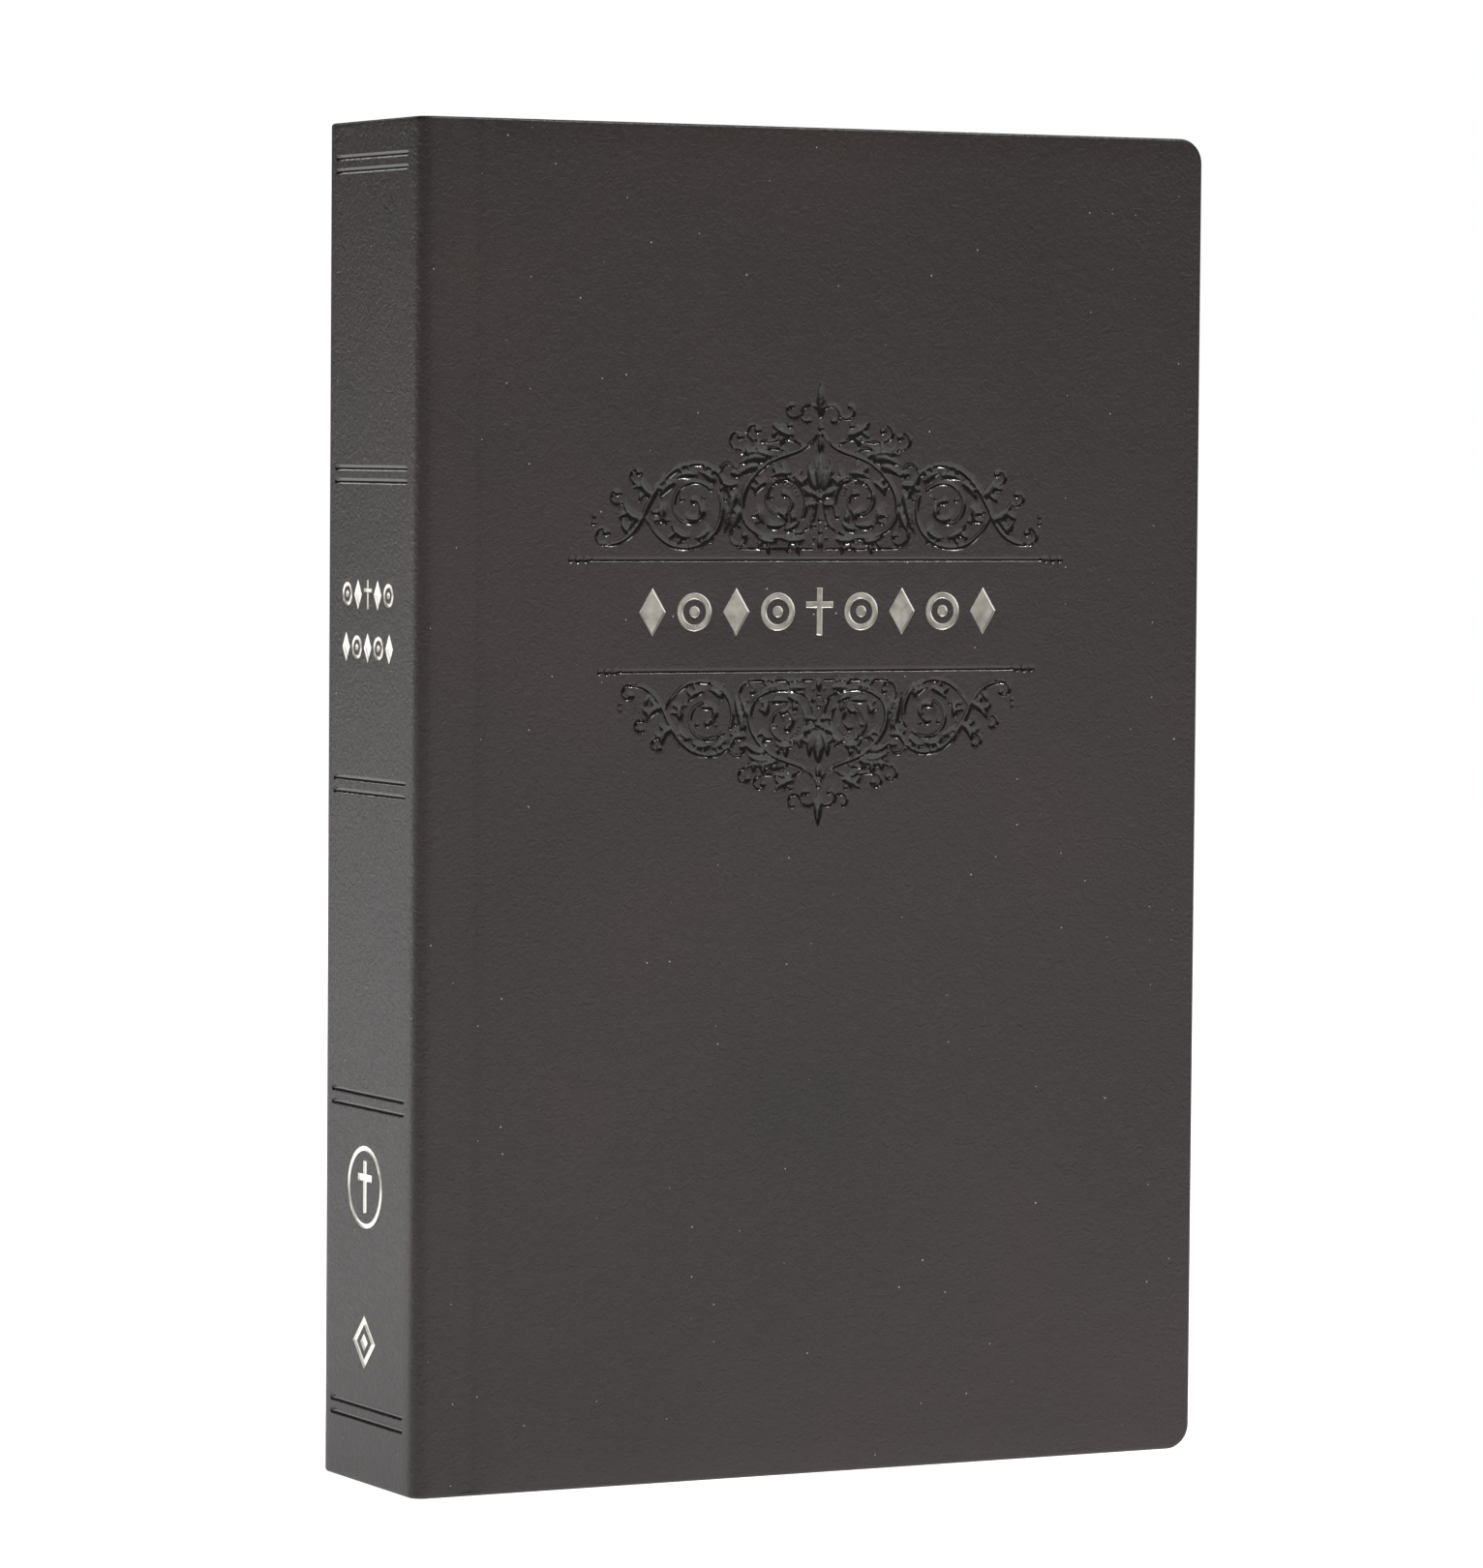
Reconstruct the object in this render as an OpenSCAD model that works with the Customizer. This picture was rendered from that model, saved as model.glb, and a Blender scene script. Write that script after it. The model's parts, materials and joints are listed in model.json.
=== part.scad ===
// Bible with a limp leathersoft cover and a sewn block of thin paper.
// It stands on its tail edge: the origin is at the middle of that edge, +Z runs to the head,
// the front cover faces -Y and the spine faces -X. All sizes are in millimetres.

/* [Book] */
// Width from the spine to the fore edge of the covers
book_w = 141; // [125:1:160]
// Thickness over both covers
book_t = 36; // [32:1:42]
// Height from tail to head
book_h = 216; // [200:1:230]
// How far the covers stand out past the pages
square_w = 2.5; // [1.5:0.5:4]
// Radius of the rounded corners at the fore edge
corner_r = 4; // [2:0.5:8]

/* [Cover] */
// Thickness of the leathersoft skin
skin_t = 0.9; // [0.7:0.1:1.2]
// Thickness of the card under the skin
card_t = 0.5; // [0.3:0.1:0.7]
// Thickness of one endpaper
endpaper_t = 0.1; // [0.1:0.05:0.2]
// Outside radius where the spine turns into the joint strips
shoulder_r = 2.5; // [2:0.5:4]
// Distance from the spine to the hinge crease
crease_x = 9.1; // [7:0.1:12]
// Width of the hinge crease
crease_w = 0.6; // [0.4:0.1:1]

/* [Spine layers] */
// Thickness of the card that lines the spine
lining_t = 0.4; // [0.3:0.1:0.6]
// Thickness of the mull cloth
mull_t = 0.2; // [0.1:0.05:0.3]
// Thickness of the glue over the folds
glue_t = 0.3; // [0.3:0.05:0.5]
// Diameter of the sewing thread
thread_d = 0.3; // [0.2:0.05:0.3]
// Number of sewing stations
stations = 6; // [4:1:8]

/* [Pages] */
// Number of folded signatures, odd so that one is in the middle
signatures = 23; // [17:2:25]
// Thickness of each loose leaf
leaf_t = 0.1; // [0.05:0.05:0.1]

/* [Stamping] */
// Depth of the stamping in the skin
stamp_d = 0.25; // [0.1:0.05:0.4]
// Thickness of the foil
foil_t = 0.1; // [0.05:0.05:0.1]
// Height of the row of foil figures on the cover
row_h = 7.6; // [6:0.2:9]
// Height of the bottom of that row above the tail
row_z = 135; // [125:1:145]
// Height of each row of foil figures on the spine
spine_row_h = 4.7; // [4:0.1:5]

/* [Hidden] */
$fn = 48;
sides = ["front", "rear"];
loose_leaves = 3;
x_spine = -book_w / 2;
x_fore = book_w / 2;
y_face = book_t / 2;
x_crease = x_spine + crease_x;
cover_t = skin_t + card_t + endpaper_t;
x_fold = x_spine + skin_t + lining_t + mull_t + glue_t;
page_h = book_h - 2 * square_w;
x_page = x_fore - square_w;
y_page = y_face - cover_t;
y_mid = loose_leaves * leaf_t / 2;
y_block = y_page - endpaper_t;
signature_t = (y_block - y_mid) / (signatures / 2);
middle = (signatures + 1) / 2;
row_x = 0.1;
ornament_gap = 4.5;
foil_y = 1.1;

function two(n) = n < 10 ? str("0", n) : str(n);
function numbered(a, b) = [for (n = [a : b]) str("signature_", two(n))];

// A plate between two y values, with round corners at its fore edge.
module plate(x0, x1, z0, z1, y0, y1, r) {
  translate([0, y1, 0]) rotate([90, 0, 0]) linear_extrude(y1 - y0) union() {
    translate([x0, z0]) square([x1 - x0 - r, z1 - z0]);
    translate([x0, z0 + r]) square([x1 - x0, z1 - z0 - 2 * r]);
    for (z = [z0 + r, z1 - r]) translate([x1 - r, z]) circle(r);
  }
}

// One half of the book's thickness: the front half is the mirror image of the rear half.
module on_side(side) {
  if (side == "rear") children();
  else mirror([0, 1, 0]) children();
}

// Plain figures one unit high that take the place of lettering: a lozenge, a ring round a bead
// and a cross, each drawn from x = 0.
line_w = 0.13;
function figure_w(c) = c == "l" ? 0.62 : c == "o" ? 0.8 : 0.64;
function figure_x(row, n, gap) = n == 0 ? 0
  : figure_x(row, n - 1, gap) + figure_w(row[n - 1]) + gap;

module figure(c) {
  w = figure_w(c);
  if (c == "l") polygon([[w / 2, 0], [w, 0.5], [w / 2, 1], [0, 0.5]]);
  if (c == "o") translate([w / 2, 0.5]) {
    difference() {
      circle(w / 2, $fn = 30);
      circle(w / 2 - line_w, $fn = 30);
    }
    circle(0.12, $fn = 30);
  }
  if (c == "+") {
    translate([(w - line_w) / 2, 0]) square([line_w, 1]);
    translate([0, 0.58]) square([w, line_w]);
  }
}

// A row of figures h high, centred on x = 0 and standing on z = 0. The gap is for h = 1.
module figure_row(row, h, gap) {
  last = len(row) - 1;
  scale(h) translate([-(figure_x(row, last, gap) + figure_w(row[last])) / 2, 0])
    for (n = [0 : last]) translate([figure_x(row, n, gap), 0]) figure(row[n]);
}

// Outline of all the foil on the spine, as seen from outside: two rows of figures, a ring with
// a plain cross in it, and a lozenge.
module spine_foil_shape() {
  translate([0, 138.9]) figure_row("ol+lo", spine_row_h, 0.17);
  translate([0, 130.5]) figure_row("lolol", spine_row_h, 0.17);
  translate([0, 47.3]) {
    difference() {
      circle(6.6);
      circle(5.8);
    }
    translate([-0.6, -4.2]) square([1.2, 8.4]);
    translate([-2.6, 0.9]) square([5.2, 1.2]);
  }
  translate([0, 22.6]) rotate(45) difference() {
    square(6, center = true);
    square(4, center = true);
  }
  translate([0, 22.6]) rotate(45) square(2, center = true);
}

// The spine foil's outline pushed in from the spine's surface, between two depths.
module spine_stamp(d0, d1) {
  translate([x_spine + d1, foil_y, 0]) rotate([0, 0, -90]) rotate([90, 0, 0])
    linear_extrude(d1 - d0) spine_foil_shape();
}
module half_space(side) {
  y0 = side == "rear" ? 0 : -book_t;
  translate([x_spine - 1, y0, 0]) cube([skin_t + 2, book_t, book_h]);
}

// Five pairs of stamped lines that run across the spine.
module spine_lines() {
  for (z = [11.3, 61.1, 110.9, 160.2, 209.3]) for (dz = [-1.05, 1.05])
    translate([x_spine - 1, -13.4, z + dz - 0.3]) cube([1 + stamp_d, 28.8, 0.6]);
}

// Half of the spine's skin and its joint strip, one sheet round the shoulder.
module spine_skin(side) {
  inner_r = shoulder_r - skin_t;
  color("#4a4345") difference() {
    on_side(side) linear_extrude(book_h) difference() {
      union() {
        translate([x_spine, 0]) square([crease_x - crease_w / 2, y_face - shoulder_r]);
        translate([x_spine + shoulder_r, 0])
          square([crease_x - crease_w / 2 - shoulder_r, y_face]);
        translate([x_spine + shoulder_r, y_face - shoulder_r]) circle(shoulder_r);
      }
      translate([x_spine + skin_t, -1]) square([crease_x, y_face - shoulder_r + 1]);
      translate([x_spine + shoulder_r, -1]) square([crease_x, y_face - skin_t + 1]);
      translate([x_spine + shoulder_r, y_face - shoulder_r]) circle(inner_r);
    }
    spine_stamp(-1, stamp_d);
    spine_lines();
  }
}
module spine_foil(side) {
  color("#afaca6") intersection() {
    spine_stamp(stamp_d - foil_t, stamp_d);
    half_space(side);
  }
}
module spine_lining(side) {
  color("#9a8f7c") on_side(side) translate([x_spine + skin_t, 0, skin_t])
    cube([lining_t, y_face - shoulder_r, book_h - 2 * skin_t]);
}
module joint_card(side) {
  x0 = x_spine + shoulder_r;
  color("#9a8f7c") on_side(side) translate([x0, y_face - skin_t - card_t, skin_t])
    cube([x_crease - crease_w / 2 - x0, card_t, book_h - 2 * skin_t]);
}
module mull(side) {
  color("#e6e1d3") on_side(side)
    translate([x_spine + skin_t + lining_t, 0, square_w + 10])
      cube([mull_t, y_page - 1, page_h - 20]);
}

// The link stitches run across the folds at each sewing station.
function station_z(n) = square_w + 12 + n * (page_h - 24) / (stations - 1);
module spine_glue(side) {
  x0 = x_fold - glue_t;
  color("#d8c9a0") on_side(side) difference() {
    translate([x0, 0, square_w]) cube([glue_t, y_block, page_h]);
    for (n = [0 : stations - 1]) translate([x0 - 1, -1, station_z(n) - thread_d / 2])
      cube([glue_t + 2, y_block - 1, thread_d]);
  }
}
module sewing_thread(side) {
  color("#f2efe6") on_side(side) for (n = [0 : stations - 1])
    translate([x_fold - thread_d / 2, 0, station_z(n)]) rotate([-90, 0, 0])
      cylinder(d = thread_d, h = y_block - 2);
}

// Each cover: skin turned over the card's edges, the card, and the endpaper glued over both.
module cover_shell(side) {
  x0 = x_crease + crease_w / 2;
  on_side(side) difference() {
    plate(x0, x_fore, 0, book_h, y_page + endpaper_t, y_face, corner_r);
    plate(x0 - 1, x_fore - skin_t, skin_t, book_h - skin_t, y_page, y_face - skin_t,
      corner_r - skin_t);
  }
}
module cover_card(side) {
  color("#9a8f7c") on_side(side) plate(x_crease + crease_w / 2, x_fore - skin_t, skin_t,
    book_h - skin_t, y_page + endpaper_t, y_face - skin_t, corner_r - skin_t);
}
module pastedown(side) {
  color("#f3efe6") on_side(side) plate(x_crease + crease_w / 2, x_page, square_w,
    book_h - square_w, y_page, y_page + endpaper_t, corner_r);
}

// Both stamped rules across the front cover, each with a bead of three dots at its ends.
module cover_rule(z, w) {
  translate([row_x, -y_face - 1, z]) rotate([-90, 0, 0]) {
    translate([-w / 2, -0.3, 0]) cube([w, 0.6, 1 + stamp_d]);
    for (s = [-1, 1]) for (n = [0 : 2])
      translate([s * (w / 2 + 0.9 + 1.2 * n), 0, 0]) cylinder(d = 0.9, h = 1 + stamp_d, $fn = 24);
  }
}
module cover_row(d0, d1) {
  translate([row_x, d1 - y_face, row_z]) rotate([90, 0, 0])
    linear_extrude(d1 - d0) figure_row("lolo+olol", row_h, 0.27);
}
module front_cover_skin() {
  color("#3f3a39") difference() {
    cover_shell("front");
    cover_row(-1, stamp_d);
    cover_rule(row_z + row_h + ornament_gap, 81.7);
    cover_rule(row_z - 5.6, 71.3);
  }
}
module front_foil_row() {
  color("#afaca6") cover_row(stamp_d - foil_t, stamp_d);
}
module back_cover_skin() {
  color("#3f3a39") cover_shell("rear");
}

// The loose half of an endpaper, with the strip that is glued to the joint card.
module flyleaf(side) {
  color("#f3efe6") on_side(side) {
    plate(x_fold, x_page, square_w, book_h - square_w, y_page - endpaper_t, y_page, corner_r);
    translate([x_spine + shoulder_r, y_page, square_w])
      cube([crease_x - crease_w / 2 - shoulder_r, endpaper_t, page_h]);
  }
}

// Leaves folded together, from y0 to y1 and round at the fold.
module folded(y0, y1) {
  r = (y1 - y0) / 2;
  intersection() {
    linear_extrude(book_h) {
      translate([x_fold + r, y0]) square([x_page - x_fold, 2 * r]);
      translate([x_fold + r, y0 + r]) circle(r);
    }
    plate(x_fold - 1, x_page, square_w, book_h - square_w, y0 - 1, y1 + 1, corner_r);
  }
}
module signature(n) {
  y0 = n < middle ? -y_block + (n - 1) * signature_t : y_mid + (n - middle - 0.5) * signature_t;
  color("#ece7da") folded(y0, y0 + signature_t);
}
module middle_signature(side) {
  color("#ece7da") on_side(side) folded(y_mid, y_mid + signature_t / 2);
}
module loose_leaf(n) {
  y0 = y_mid - n * leaf_t;
  color("#f3efe6") plate(x_fold + 0.5, x_page, square_w, book_h - square_w, y0, y0 + leaf_t,
    corner_r);
}

front_cover_skin();
cover_card("front");  // front_cover_card
pastedown("front");  // front_pastedown
front_foil_row();
back_cover_skin();
cover_card("rear");  // back_cover_card
pastedown("rear");  // back_pastedown
for (s = sides) {
  spine_skin(s);
  joint_card(s);
  spine_lining(s);
  mull(s);
  spine_glue(s);
  sewing_thread(s);
  spine_foil(s);
  flyleaf(s);
  middle_signature(s);
}
for (n = [1 : signatures]) if (n != middle)
  signature(n);
for (n = [1 : loose_leaves])
  loose_leaf(n);
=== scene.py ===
import json
import math

import bmesh
import bpy
import numpy as np
from mathutils import Matrix, Vector
from mathutils.geometry import delaunay_2d_cdt


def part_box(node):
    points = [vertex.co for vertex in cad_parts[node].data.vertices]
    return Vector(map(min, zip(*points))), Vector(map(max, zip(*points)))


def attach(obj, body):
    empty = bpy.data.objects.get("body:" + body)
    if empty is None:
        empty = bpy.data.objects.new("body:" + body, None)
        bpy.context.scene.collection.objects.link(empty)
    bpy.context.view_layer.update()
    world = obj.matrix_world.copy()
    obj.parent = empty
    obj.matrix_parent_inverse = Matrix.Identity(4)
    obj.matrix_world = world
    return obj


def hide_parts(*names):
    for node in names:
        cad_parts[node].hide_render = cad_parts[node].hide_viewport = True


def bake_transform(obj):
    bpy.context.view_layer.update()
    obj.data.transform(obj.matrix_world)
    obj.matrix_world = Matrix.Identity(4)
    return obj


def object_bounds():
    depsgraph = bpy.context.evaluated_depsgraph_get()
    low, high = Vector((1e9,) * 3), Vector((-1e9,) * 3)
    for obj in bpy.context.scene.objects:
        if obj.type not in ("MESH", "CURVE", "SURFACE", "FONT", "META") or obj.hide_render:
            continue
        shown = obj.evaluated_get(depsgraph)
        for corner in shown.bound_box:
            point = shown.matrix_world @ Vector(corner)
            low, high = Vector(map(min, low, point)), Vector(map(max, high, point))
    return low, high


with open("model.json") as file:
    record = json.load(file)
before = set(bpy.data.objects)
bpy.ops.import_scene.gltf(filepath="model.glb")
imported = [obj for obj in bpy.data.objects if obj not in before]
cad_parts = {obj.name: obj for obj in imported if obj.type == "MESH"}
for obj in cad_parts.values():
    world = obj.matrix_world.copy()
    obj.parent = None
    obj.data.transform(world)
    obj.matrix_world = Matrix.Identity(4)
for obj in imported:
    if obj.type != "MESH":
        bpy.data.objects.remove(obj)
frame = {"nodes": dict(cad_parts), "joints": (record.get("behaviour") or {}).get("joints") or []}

cad_bounds = [list(corner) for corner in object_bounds()]

# ------------------------------------------------------------
# Studio: a white floor in a white room, a small light high on the right that rakes the
# cover's relief, four weak soft ones, and a long lens at half the height of the book.
# ------------------------------------------------------------
azimuth, elevation, roll = math.radians(-27.16), math.radians(2.78), math.radians(0.44)
aim, distance = Vector((-0.02306, -0.03621, 0.11235)), 1.097
lens = bpy.data.cameras.new("lens")
lens.sensor_fit, lens.sensor_width, lens.lens = "HORIZONTAL", 36, 170.2
camera = bpy.data.objects.new("camera", lens)
turn = (Matrix.Rotation(azimuth, 4, "Z") @ Matrix.Rotation(math.pi / 2 - elevation, 4, "X")
        @ Matrix.Rotation(roll, 4, "Z"))
camera.matrix_world = Matrix.Translation(aim - turn.to_3x3() @ Vector((0, 0, -distance))) @ turn
bpy.context.scene.collection.objects.link(camera)
bpy.context.scene.camera = camera
bpy.context.scene.view_settings.view_transform = "Standard"


def add(tree, kind, inputs=(), **settings):
    """Adds a shader node, sets its settings, and sets or links its inputs."""
    made = tree.nodes.new("ShaderNode" + kind)
    for name, value in settings.items():
        setattr(made, name, value)
    for name, value in dict(inputs).items():
        if isinstance(value, bpy.types.NodeSocket):
            tree.links.new(value, made.inputs[name])
        else:
            made.inputs[name].default_value = value
    return made


def colour(code):
    """An sRGB hex colour as linear red, green, blue and alpha."""
    parts = [int(code[n:n + 2], 16) / 255 for n in (1, 3, 5)]
    return [p / 12.92 if p <= 0.04045 else ((p + 0.055) / 1.055) ** 2.4 for p in parts] + [1]


def new_material(name, **surface):
    """A material with one Principled surface, its uniform values set on the shader itself."""
    material = bpy.data.materials.new(name)
    material.use_nodes = True
    shader = material.node_tree.nodes["Principled BSDF"]
    for socket, value in surface.items():
        shader.inputs[socket.replace("_", " ")].default_value = value
    return material, material.node_tree, shader


# The room is dim, so that the lights shape the relief, but it shows as white behind the book.
world = bpy.data.worlds.new("studio")
world.use_nodes = True
room = world.node_tree.nodes["Background"]
room.inputs["Color"].default_value = colour("#ffffff")
seen = world.node_tree.nodes.new("ShaderNodeLightPath")
bright = add(world.node_tree, "MapRange", {"Value": seen.outputs["Is Camera Ray"],
                                           "To Min": 0.06, "To Max": 1.0})
world.node_tree.links.new(bright.outputs["Result"], room.inputs["Strength"])
bpy.context.scene.world = world


def soft_light(name, place, target, size, power):
    """A square studio light that faces the target: sizes in metres, power in watts."""
    light = bpy.data.lights.new(name, "AREA")
    light.size, light.energy = size, power
    lamp = bpy.data.objects.new(name, light)
    lamp.location = place
    lamp.rotation_euler = (Vector(target) - Vector(place)).to_track_quat("-Z", "Y").to_euler()
    bpy.context.scene.collection.objects.link(lamp)


soft_light("top_light", (-0.3, -0.8, 1.5), (0, 0, 0.1), 0.35, 4)
soft_light("crest_light", (0.6, -0.25, 1.25), (0, 0, 0.14), 0.16, 9.5)
soft_light("front_bounce", (0.15, -0.5, 0.02), (0, 0, 0.02), 0.3, 0.35)
soft_light("spine_bounce", (-0.38, 0.28, 0.02), (-0.07, 0, 0.04), 0.25, 0.65)
soft_light("rear_light", (-0.15, 1.3, 0.8), (-0.07, 0, 0.1), 0.35, 1.3)

bpy.ops.object.select_all(action="DESELECT")
bpy.ops.mesh.primitive_grid_add(x_subdivisions=8, y_subdivisions=8, size=3.4)
floor = bpy.context.object
floor.name = "floor"
paint, _, _ = new_material("white_floor_paint", Base_Color=colour("#f2f2f2"), Roughness=0.9,
                           Emission_Color=colour("#ffffff"), Emission_Strength=1.0)
floor.data.materials.append(paint)

# ------------------------------------------------------------
# Imitation leather: a soft polyurethane skin on a cloth backing, dyed dark brown and embossed
# with a fine hide grain. It wraps the front cover, the spine and the back cover in one
# sheet, folded at a crease beside the spine on each side.
# ------------------------------------------------------------
MM = 0.001
low, high = (Vector(corner) / MM for corner in cad_bounds)
joints = {joint["name"]: joint for joint in frame["joints"]}
crease = joints["front_cover_hinge"]["pos_m"][0] / MM
card_low, card_high = (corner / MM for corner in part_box("front_cover_card"))
skin_t = card_low.y - (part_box("front_cover_skin")[0] / MM).y
card_t = card_high.y - card_low.y
tall, corner_r, shoulder_r = high.z, 4.0, 2.5
seam = low.x + 5.5
# Radii of a rolled edge, outside and on its turned-in lip.
edge_r, inner_r = 0.55, 0.25


def piece(name, points, faces, pressed):
    """A closed mesh object from points in mm, and how far each of them is pressed in."""
    mesh = bpy.data.meshes.new(name)
    mesh.from_pydata([tuple(c * MM for c in p) for p in points], [], [tuple(f) for f in faces])
    mesh.attributes.new("pressed", "FLOAT", "POINT").data.foreach_set("value", pressed)
    made = bpy.data.objects.new(name, mesh)
    bpy.context.scene.collection.objects.link(made)
    shape = bmesh.new()
    shape.from_mesh(mesh)
    bmesh.ops.remove_doubles(shape, verts=shape.verts, dist=0.002 * MM)
    open_edges = [e for e in shape.edges if e.is_boundary]
    if open_edges:
        bmesh.ops.holes_fill(shape, edges=open_edges, sides=0)
    bmesh.ops.recalc_face_normals(shape, faces=shape.faces)
    shape.to_mesh(mesh)
    shape.free()
    return made


def only(made):
    """Selects one object and nothing else, and makes it the active one."""
    bpy.ops.object.select_all(action="DESELECT")
    made.select_set(True)
    bpy.context.view_layer.objects.active = made


def finish_piece(made, material, angle=35):
    """Smooth shading with crisp edges, the material, and the rest place as an attribute."""
    only(made)
    bpy.ops.object.shade_smooth_by_angle(angle=math.radians(angle))
    made.select_set(False)
    rest = made.data.attributes.new("rest", "FLOAT_VECTOR", "POINT")
    rest.data.foreach_set("vector", np.array([v.co for v in made.data.vertices]).ravel())
    made.data.materials.append(material)


def triangulate(points, loops):
    """Triangles over 2D points, held to the closed loops of point numbers, facing upwards."""
    edges = [(loop[n - 1], loop[n]) for loop in loops for n in range(len(loop))]
    flat, _, faces, _, _, _ = delaunay_2d_cdt([Vector(p) for p in points], edges, [], 0, 1e-5)
    flat = np.array([tuple(p) for p in flat])
    faces = np.array([f for f in faces if len(f) == 3])
    a, b, c = (flat[faces[:, n]] for n in range(3))
    area = (b - a)[:, 0] * (c - a)[:, 1] - (b - a)[:, 1] * (c - a)[:, 0]
    faces[area < 0] = faces[area < 0][:, ::-1]
    return flat, faces[np.abs(area) > 1e-7]


def edge_lines(s0, s1, columns, round_end, inset):
    """The sheet's free edges at an inset: tail, round fore edge and head, or tail and head."""
    if not round_end:
        return [[(s, inset) for s in columns], [(s, tall - inset) for s in columns[::-1]]]
    line = [(s, inset) for s in columns if s < s1 - corner_r - 0.5]
    for middle, start in ((corner_r, -90), (tall - corner_r, 0)):
        line += [(s1 - corner_r + (corner_r - inset) * math.cos(a),
                  middle + (corner_r - inset) * math.sin(a))
                 for a in np.radians(np.linspace(start, start + 90, 11))]
        if start < 0:
            line += [(s1 - inset, z) for z in np.arange(corner_r + 6, tall - corner_r - 3, 6)]
    return [line + [(s, tall - inset) for s in columns[::-1] if s < s1 - corner_r - 0.5]]


def sheet_loop(lines):
    """One closed loop of points from the free edges, with the cut sides between them filled in."""
    loop = []
    for n, line in enumerate(lines):
        loop += line
        (s0, z0), (s1, z1) = line[-1], lines[(n + 1) % len(lines)][0]
        count = max(1, round(abs(z1 - z0) / 6))
        loop += [(s0 + (s1 - s0) * k / count, z0 + (z1 - z0) * k / count) for k in range(1, count)]
    return loop


def leather_sheet(name, wrap, s0, s1, columns, round_end, lip_t, step, stamping, strokes=()):
    """A sheet of imitation leather with rolled edges, turned in over its card along its free edges.

    wrap(s, sink) gives the place across the sheet at a distance s along it and sink below
    its face, and step is the distance between rows. stamping gives the face's triangles and
    the depth that each of its points is stamped to."""
    points, faces, pressed = [], [], {}

    def put(flat, sinks, triangles, flip):
        """Adds a wrapped face of triangles, turned over if it looks inwards."""
        start = len(points)
        points.extend((*wrap(s, sink), z) for (s, z), sink in zip(flat, sinks))
        faces.extend([start + n for n in (t[::-1] if flip else t)] for t in triangles)

    grid = [(s, z) for s in columns[1:-1] for z in np.arange(step, tall - step / 2, step)
            if s < s1 - 3 or not round_end]
    face_loop = sheet_loop(edge_lines(s0, s1, columns, round_end, edge_r))
    flat, triangles, sinks = stamping(face_loop, grid)
    pressed.update(enumerate(np.clip(stroke_depth(flat, strokes) / stamp_d, 0, 1)))
    put(flat, sinks, triangles, False)

    rows = [(edge_r * (1 - math.sin(a)), edge_r * (1 - math.cos(a)))
            for a in np.radians(range(0, 91, 15))]
    rows += [(inner_r * (1 - math.cos(a)), lip_t - inner_r * (1 - math.sin(a)))
             for a in np.radians(range(0, 91, 30))]
    rows += [(skin_t, lip_t), (skin_t, skin_t)]
    for (inset0, sink0), (inset1, sink1) in zip(rows[:-1], rows[1:]):
        for line0, line1 in zip(edge_lines(s0, s1, columns, round_end, inset0),
                                edge_lines(s0, s1, columns, round_end, inset1)):
            start, count = len(points), len(line0)
            points.extend((*wrap(s, sink0), z) for s, z in line0)
            points.extend((*wrap(s, sink1), z) for s, z in line1)
            faces.extend((start + n, start + count + n, start + count + n + 1, start + n + 1)
                         for n in range(count - 1))
    inner_loop = sheet_loop(edge_lines(s0, s1, columns, round_end, skin_t))
    flat, triangles = triangulate(inner_loop + grid, [list(range(len(inner_loop)))])
    put(flat, np.full(len(flat), skin_t), triangles, True)
    return piece(name, points, faces, [pressed.get(n, 0.0) for n in range(len(points))])


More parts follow.
